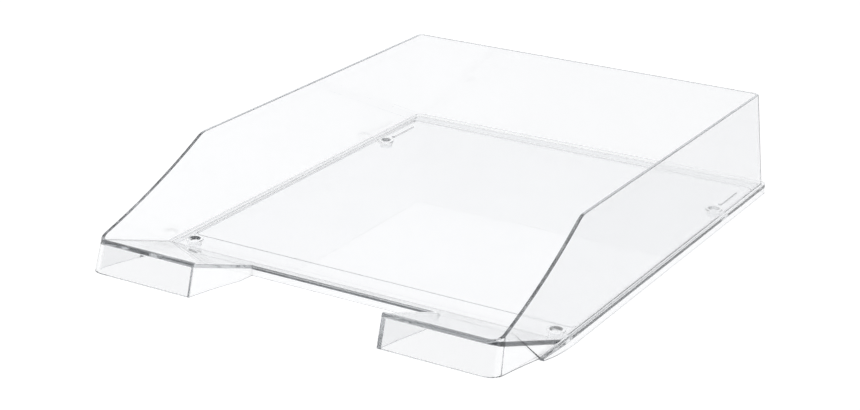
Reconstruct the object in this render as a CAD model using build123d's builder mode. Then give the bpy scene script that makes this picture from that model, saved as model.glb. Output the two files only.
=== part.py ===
"""Stackable letter tray for A4 and C4 paper, moulded in clear plastic.

The tray is one moulding. Each region of it is a solid of its own, and the solids meet face to face.
+X is to the right of a person in front of the tray, +Y towards the back and +Z up. The origin is at
the middle of the footprint, on the surface that the tray stands on. Sizes are in millimetres.
"""
from build123d import *
import os

os.makedirs("parts", exist_ok=True)

# Overall size
width = 255
depth = 348
height = 65
wall = 2

# Walls: the outer faces lean inwards as they rise
ledge_top = 6.5
foot_half_width = 125.2
top_half_width = 121.2
foot_back = 171.7
top_back = 165.6
front_corner_radius = 8
rear_corner_radius = 4
seam_x = 113
seam_back = 157

# Level edge of the side walls, then the slope down to the hoods
kink_y = -77
kink_radius = 14
slope_middle = (-121, 44.6)
slope_end_y = -165

# Hoods at the front corners, with the grip cut-out between them
hood_top = 30
hood_foot = 12.4
front_lean = 5
hood_half_gap = 57.7
seam_front = -160
hood_side_start = (-129, 5.4)
hood_side_middle = (-151, 9.2)

# Floor, its raised border and the ramp up into the hoods
panel_top = 5.2
panel_thickness = 1.8
border_top = 5.8
panel_half_width = 121.8
panel_front = -85
panel_back = 160
panel_radius = 4.5
strip_step_y = -96.5
strip_step = 0.6
ramp_foot_y = -104
lip_y = -117.5
lip_foot = 4.5
end_foot = 2.5

# Skirt that drops over the rim of the tray below
skirt_radius = 6
skirt_taper_y = -90
skirt_end = (-128, 5.2)

# Pegs and ribs
peg_x = 115.2
peg_front = -93.4
peg_rear = 113.7
peg_foot_radius = 3.8
peg_bore_radius = 2.4
peg_taper = 0.23
peg_base = 1.6
rib_length = 26
rib_width = 2.2
rib_height = 0.8
rib_y = 135

front = -depth / 2
back = depth / 2
ramp_foot_z = border_top + strip_step
hood_top_y = front + front_lean
ramp_rise = (hood_top - ramp_foot_z) / (ramp_foot_y - hood_top_y)
ramp_drop = wall * (1 + ramp_rise**2) ** 0.5
sides = {"left": -1, "right": 1}


def half_width(z):
    """Outer face of the side walls at height z."""
    return foot_half_width - (foot_half_width - top_half_width) * (z - ledge_top) / (height - ledge_top)


def back_face(z):
    """Outer face of the back wall at height z."""
    return foot_back - (foot_back - top_back) * (z - ledge_top) / (height - ledge_top)


def front_face(z):
    """Outer face of the hood fronts at height z."""
    return front + front_lean * (z - hood_foot) / (hood_top - hood_foot)


def ramp_top(y):
    """Height of the ramp's upper face."""
    return ramp_foot_z + ramp_rise * (ramp_foot_y - y)


def envelope(inset):
    """Tapering block inside the outer faces of the walls, moved in by inset."""
    with BuildPart() as block:
        for z in (0, height):
            near = front_face(z) + inset
            far = back_face(z) - inset
            with BuildSketch(Plane.XY.offset(z)) as plan:
                with Locations((0, (near + far) / 2)):
                    Rectangle(2 * (half_width(z) - inset), far - near)
                fillet(plan.vertices().group_by(Axis.Y)[0], front_corner_radius - inset)
                fillet(plan.vertices().group_by(Axis.Y)[-1], rear_corner_radius - inset)
        loft(ruled=True)
    return block.part


def slab(x_low, x_high, y_low, y_high, z_low=-1, z_high=height + 1):
    """Plain block between the given limits."""
    with BuildPart() as block:
        with BuildSketch(Plane.XY.offset(z_low)):
            with Locations(((x_low + x_high) / 2, (y_low + y_high) / 2)):
                Rectangle(x_high - x_low, y_high - y_low)
        extrude(amount=z_high - z_low)
    return block.part


def side_profile(points, half=width):
    """Prism across the tray with the given outline of (y, z) points."""
    with BuildPart() as prism:
        with BuildSketch(Plane.YZ):
            with BuildLine():
                Polyline(*points, close=True)
            make_face()
        extrude(amount=half, both=True)
    return prism.part


def region(name, body, low, high):
    """The piece of body between the corners low and high of a plan rectangle, written as a node."""
    with BuildPart() as piece:
        add(body)
        add(slab(low[0], high[0], low[1], high[1]), mode=Mode.INTERSECT)
    keep(name, piece.part)


def keep(name, part):
    """Labels a finished piece and writes it."""
    part.label = name
    export_step(part, f"parts/{name}.step")


def span(sign, inner, outer):
    """Limits in x of a strip on the side that sign gives, in rising order."""
    return sorted((sign * inner, sign * outer))


standing = (Align.CENTER, Align.CENTER, Align.MIN)
outer = envelope(0)
inner = envelope(wall)

# Walls, rear corners, and the fronts and corners of the hoods, all cut from one leaning shell
with BuildPart() as shell:
    with BuildSketch(Plane.YZ) as wall_outline:
        with BuildLine():
            Polyline((slope_end_y, hood_top), (2 * front, hood_top), (2 * front, hood_foot), (front, hood_foot))
            ThreePointArc((front, hood_foot), hood_side_middle, hood_side_start)
            Polyline(hood_side_start, (ramp_foot_y, border_top - wall), (ramp_foot_y, border_top))
            Polyline((ramp_foot_y, border_top), (2 * back, border_top), (2 * back, height), (kink_y, height))
            ThreePointArc((kink_y, height), slope_middle, (slope_end_y, hood_top))
        make_face()
        kink = wall_outline.vertices().sort_by_distance((kink_y, height))[0]
        fillet(kink, kink_radius)
    extrude(amount=width, both=True)
    add(outer, mode=Mode.INTERSECT)
    add(inner, mode=Mode.SUBTRACT)
    add(slab(-hood_half_gap, hood_half_gap, 2 * front, 0), mode=Mode.SUBTRACT)

region("back_wall", shell.part, (-seam_x, seam_back), (seam_x, back))
for side, sign in sides.items():
    low_x, high_x = span(sign, seam_x, width / 2)
    region(f"{side}_side_wall", shell.part, (low_x, seam_front), (high_x, seam_back))
    region(f"{side}_rear_corner", shell.part, (low_x, seam_back), (high_x, back))
    region(f"{side}_front_corner", shell.part, (low_x, front), (high_x, seam_front))
    low_x, high_x = span(sign, hood_half_gap, seam_x)
    region(f"{side}_hood_front", shell.part, (low_x, front), (high_x, seam_front))

# Skirt: a low band outside the walls, open at the front and tapering off beside the hoods
with BuildPart() as skirt:
    with BuildSketch():
        RectangleRounded(width, depth, skirt_radius)
    extrude(amount=ledge_top)
    with BuildSketch(Plane.YZ) as skirt_outline:
        with BuildLine():
            Line((skirt_taper_y, 0), (2 * back, 0))
            Polyline((2 * back, 0), (2 * back, height), (skirt_end[0], height), skirt_end)
            TangentArc((skirt_taper_y, 0), skirt_end, tangent=(-1, 0))
        make_face()
    extrude(amount=width, both=True, mode=Mode.INTERSECT)
    add(outer, mode=Mode.SUBTRACT)

region("back_skirt", skirt.part, (-seam_x, seam_back), (seam_x, back))
for side, sign in sides.items():
    low_x, high_x = span(sign, seam_x, width / 2)
    region(f"{side}_skirt", skirt.part, (low_x, front), (high_x, seam_back))
    region(f"{side}_skirt_corner", skirt.part, (low_x, seam_back), (high_x, back))

# Floor: a recessed panel inside a raised border that carries the walls
panel_length = panel_back - panel_front
panel_middle = (panel_back + panel_front) / 2
peg_ends = {"front": (peg_front, ramp_foot_z), "rear": (peg_rear, panel_top + rib_height)}

with BuildPart() as peg_blocks:
    for y, top in peg_ends.values():
        with Locations((-peg_x, y), (peg_x, y)):
            Cone(peg_foot_radius, peg_foot_radius + peg_taper * top, top, align=standing)

with BuildPart() as floor_panel:
    with BuildSketch(Plane.XY.offset(panel_top - panel_thickness)):
        with Locations((0, panel_middle)):
            RectangleRounded(2 * panel_half_width, panel_length, panel_radius)
    extrude(amount=panel_thickness)
    add(peg_blocks.part, mode=Mode.SUBTRACT)
keep("floor_panel", floor_panel.part)

with BuildPart() as border:
    strip_outline = [
        (ramp_foot_y, ramp_foot_z),
        (strip_step_y - strip_step, ramp_foot_z),
        (strip_step_y, border_top),
        (2 * back, border_top),
        (2 * back, border_top - wall),
        (strip_step_y, border_top - wall),
        (strip_step_y - strip_step, ramp_foot_z - wall),
        (ramp_foot_y, ramp_foot_z - wall),
    ]
    add(side_profile(strip_outline))
    add(outer, mode=Mode.INTERSECT)
    add(shell.part, mode=Mode.SUBTRACT)
    with BuildSketch():
        with Locations((0, panel_middle)):
            RectangleRounded(2 * panel_half_width, panel_length, panel_radius)
    extrude(amount=height, mode=Mode.SUBTRACT)
    add(peg_blocks.part, mode=Mode.SUBTRACT)

seam_strip = panel_front + panel_radius
seam_border = panel_back - panel_radius
region("front_floor_strip", border.part, (-width, front), (width, seam_strip))
region("back_floor_border", border.part, (-width, seam_border), (width, back))
for side, sign in sides.items():
    low_x, high_x = span(sign, peg_x, width / 2)
    region(f"{side}_floor_border", border.part, (low_x, seam_strip), (high_x, seam_border))

# Ramp: it rises from the front strip to the top edge of the hoods
ramp_outline = [
    (ramp_foot_y, ramp_foot_z),
    (ramp_foot_y, ramp_foot_z - ramp_drop),
    (2 * front, ramp_top(2 * front) - ramp_drop),
    (2 * front, ramp_top(2 * front)),
]
with BuildPart() as ramp:
    add(side_profile(ramp_outline))
    add(inner, mode=Mode.INTERSECT)

region("front_apron", ramp.part, (-width, lip_y), (width, ramp_foot_y))
for side, sign in sides.items():
    low_x, high_x = span(sign, hood_half_gap, width / 2)
    region(f"{side}_hood_ramp", ramp.part, (low_x, front), (high_x, lip_y))

# Inner ends of the hoods: upright plates under the ramp's inner edges
end_outline = [
    (front, hood_foot),
    (front, ramp_top(front) - ramp_drop),
    (lip_y, ramp_top(lip_y) - ramp_drop),
    (lip_y, end_foot),
]
with BuildPart() as hood_ends:
    add(side_profile(end_outline))
    add(inner, mode=Mode.INTERSECT)

for side, sign in sides.items():
    low_x, high_x = span(sign, hood_half_gap, hood_half_gap + wall)
    region(f"{side}_hood_end", hood_ends.part, (low_x, front), (high_x, lip_y))

# Front lip: a short flange turned down from the apron's edge
lip_back = lip_y + wall
lip_outline = [
    (lip_y, 0),
    (lip_y, ramp_top(lip_y) - ramp_drop),
    (lip_back, ramp_top(lip_back) - ramp_drop),
    (lip_back, 0),
]
lip_half_width = hood_half_gap + wall
with BuildPart() as front_lip:
    add(side_profile(lip_outline))
    with BuildSketch(Plane.XZ) as lip_face:
        with BuildLine():
            Polyline(
                (-lip_half_width, height),
                (-lip_half_width, end_foot),
                (-hood_half_gap, end_foot),
                (-hood_half_gap + 4 * wall, lip_foot),
                (hood_half_gap - 4 * wall, lip_foot),
                (hood_half_gap, end_foot),
                (lip_half_width, end_foot),
                (lip_half_width, height),
                close=True,
            )
        make_face()
    extrude(amount=depth, both=True, mode=Mode.INTERSECT)
keep("front_lip", front_lip.part)

# Pegs: hollow from above, tapering to their feet and standing a little proud of the floor round them
with BuildPart() as pegs:
    add(peg_blocks.part)
    for y, top in peg_ends.values():
        rise = top - peg_base
        with Locations((-peg_x, y, peg_base), (peg_x, y, peg_base)):
            Cone(peg_bore_radius, peg_bore_radius + peg_taper * rise, rise, align=standing, mode=Mode.SUBTRACT)

for end, (y, top) in peg_ends.items():
    for side, sign in sides.items():
        low_x, high_x = span(sign, 0, width)
        region(f"{end}_{side}_peg", pegs.part, (low_x, y - 20), (high_x, y + 20))

# Ribs: low ridges on the floor behind the rear pegs
for side, sign in sides.items():
    with BuildPart() as rib:
        with BuildSketch(Plane.XY.offset(panel_top)):
            with Locations((sign * peg_x, rib_y)):
                SlotOverall(rib_length, rib_width, rotation=90)
        extrude(amount=rib_height)
    keep(f"{side}_rib", rib.part)
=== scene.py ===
"""Looks of a stackable clear letter tray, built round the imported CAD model.

The real tray is one clear moulding, so one seamless piece stands for all the CAD regions: a seam between
two touching clear solids would show. Its shape is worked out in millimetres with the CAD's dimensions,
its edges are rounded, and it is scaled to metres at the end.
"""

import math

import bmesh
import bpy
from mathutils import Matrix, Vector


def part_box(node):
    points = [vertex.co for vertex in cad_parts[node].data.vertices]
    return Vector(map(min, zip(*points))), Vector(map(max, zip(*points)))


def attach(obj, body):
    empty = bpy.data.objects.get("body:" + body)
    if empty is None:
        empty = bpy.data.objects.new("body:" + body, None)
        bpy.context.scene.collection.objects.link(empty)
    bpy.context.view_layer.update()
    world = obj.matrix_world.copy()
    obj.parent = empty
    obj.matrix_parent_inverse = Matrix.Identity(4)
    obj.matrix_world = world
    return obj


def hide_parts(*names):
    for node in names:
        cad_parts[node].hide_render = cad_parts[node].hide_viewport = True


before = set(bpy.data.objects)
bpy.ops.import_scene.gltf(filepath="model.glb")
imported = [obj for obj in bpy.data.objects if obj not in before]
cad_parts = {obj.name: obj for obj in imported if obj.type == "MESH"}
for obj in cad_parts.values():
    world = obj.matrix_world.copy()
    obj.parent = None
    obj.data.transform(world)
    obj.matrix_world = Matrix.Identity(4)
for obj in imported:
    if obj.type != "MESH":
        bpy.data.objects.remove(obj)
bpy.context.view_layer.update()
MM = 0.001


def low(node):
    """Lowest corner of a CAD node, in millimetres."""
    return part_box(node)[0] / MM


def high(node):
    """Highest corner of a CAD node, in millimetres."""
    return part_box(node)[1] / MM


# --- Walls and outer skirt, in millimetres ---
WALL = 2.0
HALF_WIDTH = high("right_skirt").x
FRONT = low("left_front_corner").y
BACK = high("back_skirt").y
HEIGHT = high("back_wall").z
LEDGE_TOP = high("left_skirt").z
FOOT_HALF_WIDTH = 125.2
TOP_HALF_WIDTH = 121.2
FOOT_BACK = 171.7
TOP_BACK = 165.6
FRONT_CORNER_RADIUS = 8.0
REAR_CORNER_RADIUS = 4.0
SKIRT_RADIUS = 6.0
SKIRT_OVERLAP = 0.3      # how far the skirt reaches into the walls
SKIRT_TAPER_Y = -90.0    # where the skirt starts to rise
SKIRT_END = (-128.0, 4.7)

# Side walls' upper edge: level, a rounded kink, then a hollow slope down to the hoods
KINK_Y = -77.0
KINK_RADIUS = 14.0
SLOPE_MIDDLE = (-121.0, 44.6)
SLOPE_END_Y = -165.0

# --- Hoods either side of the grip cut-out ---
HOOD_TOP = 30.0
HOOD_FOOT = 12.4
FRONT_LEAN = 5.0
GAP_HALF_WIDTH = high("front_lip").x - WALL
HOOD_SIDE_START = (-129.0, 5.4)
HOOD_SIDE_MIDDLE = (-151.0, 9.2)
RAMP_FOOT_Y = high("front_apron").y
LIP_Y = low("front_lip").y

# --- Floor ---
PANEL_TOP = high("floor_panel").z
PANEL_UNDER = low("floor_panel").z
PANEL_NEAR = low("floor_panel").y
PANEL_FAR = high("floor_panel").y
PANEL_RADIUS = 4.5
BORDER_TOP = high("left_floor_border").z
BORDER_UNDER = low("left_floor_border").z
STRIP_STEP_Y = -96.5
STRIP_STEP = high("front_floor_strip").z - BORDER_TOP
RAMP_FOOT_Z = BORDER_TOP + STRIP_STEP
RAMP_RISE = (HOOD_TOP - RAMP_FOOT_Z) / (RAMP_FOOT_Y - FRONT - FRONT_LEAN)
RAMP_DROP = WALL * math.hypot(1, RAMP_RISE)

# --- Stacking pegs ---
PEGS = ("front_left_peg", "front_right_peg", "rear_left_peg", "rear_right_peg")
PEG_FOOT_RADIUS = 3.8
PEG_BORE_RADIUS = 2.4
PEG_TAPER = 0.23         # growth of the radius with height
PEG_BASE = 1.6

# --- Rounded edges ---
ROUNDING = 0.45          # radius of most of the moulding's edges
FOOT_ROUNDING = 1.0      # radius inside, where the walls stand on the floor
FINE_ROUNDING = 0.18     # radius round the small steps of the floor
ROUNDING_FACES = 4
STEPS_HALF_WIDTH = 122.5  # the floor's small steps lie inside this
SHARP = math.radians(12)  # flatter folds aren't rounded

# --- Mesh settings ---
ARC_STEP = math.radians(7.5)
SHORTEST = 0.14          # least length of a step along an arc
MERGE = 0.12             # corners closer than this become one
SLOPE_STEPS = 24
SLOPE_GAP = 0.5          # least distance from the end of the kink to the slope's next point
SHORT_ARC_STEPS = 8      # along the hoods' lower side edge and the skirt's rise
PAST = 1.0               # how far a cut or a join runs past the face it meets
FAR = 400.0              # beyond the tray in any direction


# --- Mesh kit ---
def mesh_object(name, points, faces):
    """A mesh object with outward normals."""
    mesh = bpy.data.meshes.new(name)
    mesh.from_pydata(points, [], faces)
    shape = bmesh.new()
    shape.from_mesh(mesh)
    bmesh.ops.recalc_face_normals(shape, faces=shape.faces)
    shape.to_mesh(mesh)
    shape.free()
    piece = bpy.data.objects.new(name, mesh)
    bpy.context.scene.collection.objects.link(piece)
    return piece


def stack(name, rings):
    """A closed body through rings of points, all with the same number of points."""
    count = len(rings[0])
    points = [point for ring in rings for point in ring]
    faces = [list(range(count)), list(range(len(points) - count, len(points)))]
    for level in range(len(rings) - 1):
        start = level * count
        for i in range(count):
            j = (i + 1) % count
            faces.append([start + i, start + j, start + count + j, start + count + i])
    return mesh_object(name, points, faces)


def prism(outline, axis, start, end):
    """A block with the given outline in the two other axes, from start to end along axis."""
    place = {
        "x": lambda a, b, c: (c, a, b),
        "y": lambda a, b, c: (a, c, b),
        "z": lambda a, b, c: (a, b, c),
    }[axis]
    return stack("prism", [[place(a, b, c) for a, b in outline] for c in (start, end)])


def block(near, far):
    """Plain block between two corners."""
    outline = [(near[0], near[1]), (far[0], near[1]), (far[0], far[1]), (near[0], far[1])]
    return prism(outline, "z", near[2], far[2])


def settle(piece):
    """Applies the modifiers of a piece."""
    depsgraph = bpy.context.evaluated_depsgraph_get()
    mesh = bpy.data.meshes.new_from_object(piece.evaluated_get(depsgraph))
    piece.modifiers.clear()
    old = piece.data
    piece.data = mesh
    bpy.data.meshes.remove(old)


def combine(body, operation, tool):
    """Adds the tool to body, cuts it from it or keeps what they share, and removes the tool."""
    step = body.modifiers.new("combine", "BOOLEAN")
    step.operation = operation
    step.solver = "MANIFOLD"
    step.object = tool
    settle(body)
    bpy.data.objects.remove(tool)
    return body


# --- Outlines ---
def arc(centre, radius, start, end):
    """Points on an arc, both ends included."""
    turn = abs(end - start)
    steps = max(2, min(math.ceil(turn / ARC_STEP), int(radius * turn / SHORTEST)))
    angles = [start + (end - start) * i / steps for i in range(steps + 1)]
    return [(centre[0] + radius * math.cos(a), centre[1] + radius * math.sin(a)) for a in angles]


def arc_through(first, middle, last, steps):
    """Points on the arc through three points, both ends included."""
    (ax, ay), (bx, by), (cx, cy) = first, middle, last
    d = 2 * (ax * (by - cy) + bx * (cy - ay) + cx * (ay - by))
    a2, b2, c2 = ax * ax + ay * ay, bx * bx + by * by, cx * cx + cy * cy
    x = (a2 * (by - cy) + b2 * (cy - ay) + c2 * (ay - by)) / d
    y = (a2 * (cx - bx) + b2 * (ax - cx) + c2 * (bx - ax)) / d
    radius = math.hypot(ax - x, ay - y)
    start = math.atan2(ay - y, ax - x)
    turn = (math.atan2(cy - y, cx - x) - start + math.pi) % math.tau - math.pi
    angles = [start + turn * i / steps for i in range(steps + 1)]
    return [(x + radius * math.cos(a), y + radius * math.sin(a)) for a in angles]


def arc_from_level(start_y, end):
    """Arc that leaves the line z = 0 at start_y, forwards and up, and ends at a point, as (y, z) points."""
    run, rise = start_y - end[0], end[1]
    radius = (run * run + rise * rise) / (2 * rise)
    turn = 2 * math.atan2(rise, run)
    angles = [turn * i / SHORT_ARC_STEPS for i in range(SHORT_ARC_STEPS + 1)]
    return [(start_y - radius * math.sin(a), radius - radius * math.cos(a)) for a in angles]


def rounded_rectangle(half_x, near, far, near_radius, far_radius):
    """Plan outline with rounded corners."""
    corners = [
        (half_x - far_radius, far - far_radius, far_radius, 0),
        (far_radius - half_x, far - far_radius, far_radius, 1),
        (near_radius - half_x, near + near_radius, near_radius, 2),
        (half_x - near_radius, near + near_radius, near_radius, 3),
    ]
    quarter = math.pi / 2
    return [point for x, y, r, k in corners for point in arc((x, y), r, k * quarter, (k + 1) * quarter)]


def kinked_edge():
    """Upper edge of the side walls from the back to the hoods, as (y, z) points."""
    slope = arc_through((KINK_Y, HEIGHT), SLOPE_MIDDLE, (SLOPE_END_Y, HOOD_TOP), SLOPE_STEPS)
    fall = math.atan2(HEIGHT - slope[1][1], KINK_Y - slope[1][0])
    reach = KINK_RADIUS * math.tan(fall / 2)
    turn = arc((KINK_Y + reach, HEIGHT - KINK_RADIUS), KINK_RADIUS, math.pi / 2, math.pi / 2 + fall)
    slope_from = turn[-1][0] - SLOPE_GAP
    return [(FAR, HEIGHT)] + turn + [point for point in slope[1:] if point[0] < slope_from]


# --- Leaning faces ---
def half_width(z):
    """Outer face of the side walls at height z."""
    return FOOT_HALF_WIDTH - (FOOT_HALF_WIDTH - TOP_HALF_WIDTH) * (z - LEDGE_TOP) / (HEIGHT - LEDGE_TOP)


def back_face(z):
    """Outer face of the back wall at height z."""
    return FOOT_BACK - (FOOT_BACK - TOP_BACK) * (z - LEDGE_TOP) / (HEIGHT - LEDGE_TOP)


def front_face(z):
    """Outer face of the hood fronts at height z."""
    return FRONT + FRONT_LEAN * (z - HOOD_FOOT) / (HOOD_TOP - HOOD_FOOT)


def ramp_top(y):
    """Height of the ramp's upper face."""
    return RAMP_FOOT_Z + RAMP_RISE * (RAMP_FOOT_Y - y)


def envelope(inset):
    """Tapering block inside the walls' outer faces, moved in by inset, from below the tray to above it."""
    margin = 5.0
    rings = []
    for z in (-margin, HEIGHT + margin):
        plan = rounded_rectangle(
            half_width(z) - inset,
            front_face(z) + inset,
            back_face(z) - inset,
            FRONT_CORNER_RADIUS - inset,
            REAR_CORNER_RADIUS - inset,
        )
        rings.append([(x, y, z) for x, y in plan])
    return stack("envelope", rings)


def cone(centre, radius, foot, top):
    """Upright round that has the given radius at height foot and widens to height top like the pegs."""
    rings = []
    for z in (foot, top):
        ring = arc(centre, radius + PEG_TAPER * (z - foot), 0, math.tau)[1:]
        rings.append([(x, y, z) for x, y in ring])
    return stack("cone", rings)


# --- The moulding ---
def outer_block():
    """Block inside the walls' outer faces, with the side view's outline."""
    hood_side = arc_through(HOOD_SIDE_START, HOOD_SIDE_MIDDLE, (FRONT, HOOD_FOOT), SHORT_ARC_STEPS)
    outline = kinked_edge() + [(-FAR, HOOD_TOP), (-FAR, HOOD_FOOT)] + hood_side[::-1]
    outline += [(RAMP_FOOT_Y, BORDER_UNDER), (FAR, BORDER_UNDER)]
    return combine(envelope(0), "INTERSECT", prism(outline, "x", -FAR, FAR))


def skirt():
    """Stacking skirt round the foot of the walls, with its front ends tapering up."""
    plan = rounded_rectangle(HALF_WIDTH, FRONT, BACK, SKIRT_RADIUS, SKIRT_RADIUS)
    side = arc_from_level(SKIRT_TAPER_Y, SKIRT_END) + [(SKIRT_END[0], FAR), (FAR, FAR), (FAR, 0)]
    ring = combine(prism(plan, "z", 0, LEDGE_TOP), "INTERSECT", prism(side, "x", -FAR, FAR))
    return combine(ring, "DIFFERENCE", envelope(SKIRT_OVERLAP))


def paper_bay():
    """Space over the floor's border, the front strip and the ramp."""
    outline = [
        (-FAR, ramp_top(-FAR)),
        (RAMP_FOOT_Y, RAMP_FOOT_Z),
        (STRIP_STEP_Y - STRIP_STEP, RAMP_FOOT_Z),
        (STRIP_STEP_Y, BORDER_TOP),
        (FAR, BORDER_TOP),
        (FAR, FAR),
        (-FAR, FAR),
    ]
    return combine(envelope(WALL), "INTERSECT", prism(outline, "x", -FAR, FAR))


def ramp_hollow():
    """Space under the ramp, less the plates that stand round the grip cut-out."""
    outline = [
        (-FAR, ramp_top(-FAR) - RAMP_DROP),
        (RAMP_FOOT_Y, RAMP_FOOT_Z - RAMP_DROP),
        (RAMP_FOOT_Y, -FAR),
        (-FAR, -FAR),
    ]
    hollow = combine(envelope(WALL), "INTERSECT", prism(outline, "x", -FAR, FAR))
    plates_half_width = GAP_HALF_WIDTH + WALL
    plates = block((-plates_half_width, -FAR, -FAR), (plates_half_width, LIP_Y + WALL, FAR))
    return combine(hollow, "DIFFERENCE", plates)


def rib(node):
    """Short rib with round ends, on the floor where the CAD node is."""
    near, far = low(node), high(node)
    x = (near.x + far.x) / 2
    radius = (far.x - near.x) / 2
    plan = arc((x, far.y - radius), radius, 0, math.pi)
    plan += arc((x, near.y + radius), radius, math.pi, math.tau)
    return prism(plan, "z", PANEL_TOP - PAST, far.z)


def moulding():
    """The whole tray as one closed mesh, in millimetres."""
    body = outer_block()
    combine(body, "UNION", skirt())
    combine(body, "DIFFERENCE", paper_bay())
    panel = rounded_rectangle(high("floor_panel").x, PANEL_NEAR, PANEL_FAR, PANEL_RADIUS, PANEL_RADIUS)
    combine(body, "DIFFERENCE", prism(panel, "z", PANEL_TOP, LEDGE_TOP + PAST))
    combine(body, "UNION", prism(panel, "z", PANEL_UNDER, PANEL_TOP))
    combine(body, "DIFFERENCE", ramp_hollow())
    grip = block((-GAP_HALF_WIDTH, -FAR, -FAR), (GAP_HALF_WIDTH, LIP_Y, FAR))
    combine(body, "DIFFERENCE", grip)
    for node in PEGS:
        centre = (low(node) + high(node)) / 2
        top = high(node).z
        combine(body, "UNION", cone(centre, PEG_FOOT_RADIUS, 0, top))
        combine(body, "DIFFERENCE", cone(centre, PEG_BORE_RADIUS, PEG_BASE, top + PAST / 2))
    for node in ("left_rib", "right_rib"):
        combine(body, "UNION", rib(node))
    return body


def rounding(spot):
    """Radius of the rounding at a place on the moulding's edges, by zones that reach a little past them."""
    x, y, z = abs(spot.x), spot.y, spot.z
    on_floor = x < STEPS_HALF_WIDTH and RAMP_FOOT_Y - 0.5 < y < PANEL_FAR + 0.5 and z < LEDGE_TOP
    skirt_end = x > STEPS_HALF_WIDTH and -2 < y - SKIRT_END[0] < 4 and z < LEDGE_TOP
    under_ramp_foot = x > STEPS_HALF_WIDTH and abs(y - RAMP_FOOT_Y) < 1.5 and z < BORDER_TOP
    if on_floor or skirt_end or under_ramp_foot:
        return FINE_ROUNDING
    if abs(z - BORDER_TOP) < 0.1 and y > STRIP_STEP_Y + 1:
        return FOOT_ROUNDING
    return ROUNDING


def rounded(piece):
    """Rounds the moulding's edges, shades it smooth and brings it to metres."""
    shape = bmesh.new()
    shape.from_mesh(piece.data)
    bmesh.ops.remove_doubles(shape, verts=shape.verts, dist=MERGE)
    flat = math.radians(0.5)
    bmesh.ops.dissolve_limit(shape, angle_limit=flat, verts=shape.verts, edges=shape.edges)
    weights = shape.edges.layers.float.new("bevel_weight_edge")
    for edge in shape.edges:
        if edge.calc_face_angle() > SHARP:
            middle = (edge.verts[0].co + edge.verts[1].co) / 2
            edge[weights] = rounding(middle) / FOOT_ROUNDING
    shape.to_mesh(piece.data)
    shape.free()
    edges = piece.modifiers.new("edges", "BEVEL")
    edges.width = FOOT_ROUNDING
    edges.segments = ROUNDING_FACES
    edges.limit_method = "WEIGHT"
    edges.use_clamp_overlap = False
    edges.loop_slide = False
    edges.harden_normals = True
    settle(piece)
    piece.data.transform(Matrix.Scale(MM, 4))
    piece.data.shade_smooth()
    soft = piece.modifiers.new("normals", "WEIGHTED_NORMAL")
    soft.keep_sharp = True
    return piece


# --- Shader kit ---
def noise(tree, scale, detail):
    """Noise in the object's own coordinates, with about scale waves to the metre."""
    place = tree.nodes.new("ShaderNodeTexCoord")
    made = tree.nodes.new("ShaderNodeTexNoise")
    made.inputs["Scale"].default_value = scale
    made.inputs["Detail"].default_value = detail
    tree.links.new(place.outputs["Object"], made.inputs["Vector"])
    return made.outputs["Fac"]


def spread(tree, value, from_low, from_high, to_low, to_high):
    """The value brought from one range to another, clamped."""
    made = tree.nodes.new("ShaderNodeMapRange")
    made.inputs["From Min"].default_value = from_low
    made.inputs["From Max"].default_value = from_high
    made.inputs["To Min"].default_value = to_low
    made.inputs["To Max"].default_value = to_high
    tree.links.new(value, made.inputs["Value"])
    return made.outputs["Result"]


def product(tree, first, second):
    """The product of two values."""
    made = tree.nodes.new("ShaderNodeMath")
    made.operation = "MULTIPLY"
    tree.links.new(first, made.inputs[0])
    tree.links.new(second, made.inputs[1])
    return made.outputs[0]


def let_lamps_through(tree, surface):
    """The surface, clear to lamps and bounced light, which the renderer's real glass would keep out."""
    light = tree.nodes.new("ShaderNodeLightPath")
    clear = tree.nodes.new("ShaderNodeBsdfTransparent")
    for ray in ("Is Diffuse Ray", "Is Shadow Ray"):
        mix = tree.nodes.new("ShaderNodeMixShader")
        tree.links.new(light.outputs[ray], mix.inputs[0])
        tree.links.new(surface, mix.inputs[1])
        tree.links.new(clear.outputs[0], mix.inputs[2])
        surface = mix.outputs[0]
    return surface


def clear_plastic():
    """Clear moulded polystyrene: uneven tint, handling haze, flow waves, and grey where it is seen deep."""
    material = bpy.data.materials.new("clear_plastic")
    material.use_nodes = True
    tree = material.node_tree
    tree.nodes.clear()
    out = tree.nodes.new("ShaderNodeOutputMaterial")
    body = tree.nodes.new("ShaderNodeBsdfPrincipled")
    body.inputs["Transmission Weight"].default_value = 1.0
    body.inputs["IOR"].default_value = 1.59

    tint = tree.nodes.new("ShaderNodeValToRGB")
    tint.color_ramp.elements[0].color = (0.91, 0.913, 0.918, 1)
    tint.color_ramp.elements[1].color = (0.94, 0.942, 0.945, 1)
    tree.links.new(noise(tree, 14.0, 2.0), tint.inputs["Fac"])
    tree.links.new(tint.outputs["Color"], body.inputs["Base Color"])

    haze = spread(tree, noise(tree, 35.0, 6.0), 0.4, 0.8, 0.03, 0.1)
    tree.links.new(haze, body.inputs["Roughness"])

    waves = tree.nodes.new("ShaderNodeBump")
    waves.inputs["Strength"].default_value = 0.015
    waves.inputs["Distance"].default_value = 0.0002
    tree.links.new(noise(tree, 25.0, 1.0), waves.inputs["Height"])
    tree.links.new(waves.outputs["Normal"], body.inputs["Normal"])

    depth = tree.nodes.new("ShaderNodeVolumeAbsorption")
    depth.inputs["Color"].default_value = (0.3, 0.33, 0.36, 1)
    depth.inputs["Density"].default_value = 8.0
    tree.links.new(let_lamps_through(tree, body.outputs[0]), out.inputs["Surface"])
    tree.links.new(depth.outputs[0], out.inputs["Volume"])
    return material


# --- Studio, in metres ---
REACH = 6.0              # half the width of the floor sheet
GLOW = 0.58              # strength of the floor's own light, which keeps it evenly white
BOUNCES = 48             # enough for light that runs along the inside of the walls


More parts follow.
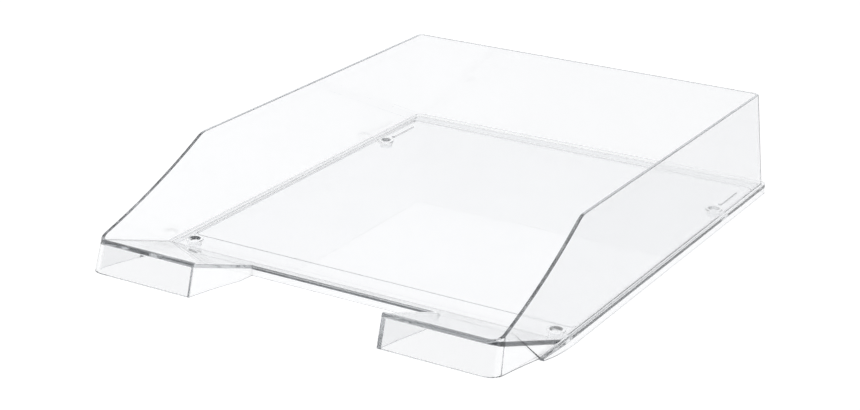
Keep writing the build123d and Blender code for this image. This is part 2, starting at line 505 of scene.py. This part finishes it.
def floor():
    """Pale sheet that the tray stands on."""
    corners = [(-REACH, -REACH, 0), (REACH, -REACH, 0), (REACH, REACH, 0), (-REACH, REACH, 0)]
    sheet = mesh_object("studio_floor", corners, [(0, 1, 2, 3)])
    material = bpy.data.materials.new("studio_floor")
    material.use_nodes = True
    shader = material.node_tree.nodes["Principled BSDF"]
    shader.inputs["Base Color"].default_value = (0.8, 0.8, 0.8, 1)
    shader.inputs["Emission Color"].default_value = (1, 1, 1, 1)
    shader.inputs["Emission Strength"].default_value = GLOW
    shader.inputs["Roughness"].default_value = 1.0
    shader.inputs["Specular IOR Level"].default_value = 0.0
    sheet.data.materials.append(material)
    return sheet


def lamp(name, place, aim, size, watts):
    """Square soft box that points at a spot."""
    light = bpy.data.lights.new(name, "AREA")
    light.size = size
    light.energy = watts
    box = bpy.data.objects.new(name, light)
    box.location = place
    box.rotation_euler = (Vector(aim) - Vector(place)).to_track_quat("-Z", "Y").to_euler()
    bpy.context.scene.collection.objects.link(box)


def surround():
    """Room that is white behind the tray and dimmer in front and overhead."""
    world = bpy.data.worlds.new("studio")
    world.use_nodes = True
    tree = world.node_tree
    place = tree.nodes.new("ShaderNodeTexCoord")
    way = tree.nodes.new("ShaderNodeSeparateXYZ")
    tree.links.new(place.outputs["Generated"], way.inputs[0])
    backwards = spread(tree, way.outputs["Y"], -0.3, 0.3, 0.45, 1)
    upwards = spread(tree, way.outputs["Z"], 0.4, 1.0, 1, 0.15)
    background = tree.nodes["Background"]
    background.inputs["Color"].default_value = (0.97, 0.98, 1, 1)
    tree.links.new(product(tree, backwards, upwards), background.inputs["Strength"])
    bpy.context.scene.world = world


def camera():
    """Camera in front of the tray, to its right and above."""
    place = Vector((519.2, -911.9, 421.4)) * MM
    azimuth, elevation, roll = math.radians(-30.337), math.radians(20.919), math.radians(0.878)
    ahead = Vector((
        math.sin(azimuth) * math.cos(elevation),
        math.cos(azimuth) * math.cos(elevation),
        -math.sin(elevation),
    ))
    level = Vector((math.cos(azimuth), -math.sin(azimuth), 0))
    over = level.cross(ahead)
    right = level * math.cos(roll) + over * math.sin(roll)
    up = over * math.cos(roll) - level * math.sin(roll)
    lens = bpy.data.cameras.new("camera")
    lens.lens = 81.2
    lens.clip_end = 50
    view = bpy.data.objects.new("camera", lens)
    pose = Matrix((right, up, -ahead)).transposed().to_4x4()
    pose.translation = place
    view.matrix_world = pose
    bpy.context.scene.collection.objects.link(view)
    bpy.context.scene.camera = view


def light_paths():
    """Lets light go through and along the clear walls until it leaves them."""
    cycles = bpy.context.scene.cycles
    cycles.max_bounces = BOUNCES
    cycles.transmission_bounces = BOUNCES
    cycles.glossy_bounces = BOUNCES


tray = rounded(moulding())
tray.name = "tray_moulding"
tray.data.materials.clear()
tray.data.materials.append(clear_plastic())
nodes = list(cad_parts)
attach(tray, "root")
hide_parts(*nodes)

floor()
lamp("soft_box", (-0.6, -0.3, 1.6), (0, 0, 0), 1.4, 8)
surround()
light_paths()
bpy.context.scene.view_settings.view_transform = "Standard"
camera()
